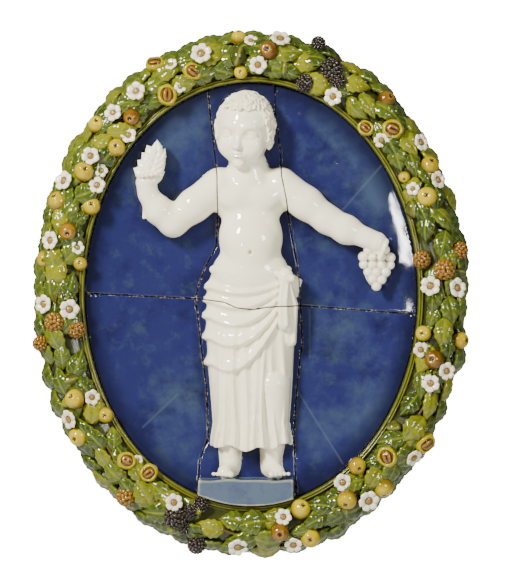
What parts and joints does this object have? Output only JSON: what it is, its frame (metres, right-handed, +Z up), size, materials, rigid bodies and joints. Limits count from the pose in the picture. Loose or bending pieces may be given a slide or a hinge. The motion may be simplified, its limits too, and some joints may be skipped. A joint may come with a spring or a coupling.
{
  "type": "oval wall plaque with relief figure",
  "caption": "Oval glazed terracotta wall plaque: a child in high relief on a concave blue ground, inside a fruit and leaf garland frame.",
  "frame": {"origin": "centre of the oval, on the flat back that lies against the wall", "axes": "+X to the right as seen from the front, +Z up, the front faces -Y and the wall is on the +Y side"},
  "size_m": [0.91, 0.1458, 1.0975],
  "materials": {
    "garland_glaze": "glossy leaf green tin glaze",
    "field_glaze": "glossy mottled cobalt blue tin glaze, white on the figure"
  },
  "bodies": {
    "root": {"garland_frame": "garland_glaze", "field_upper_left": "field_glaze", "field_upper_centre": "field_glaze", "field_upper_right": "field_glaze", "field_lower_left": "field_glaze", "field_lower_centre": "field_glaze", "field_lower_right": "field_glaze"}
  },
  "joints": []
}
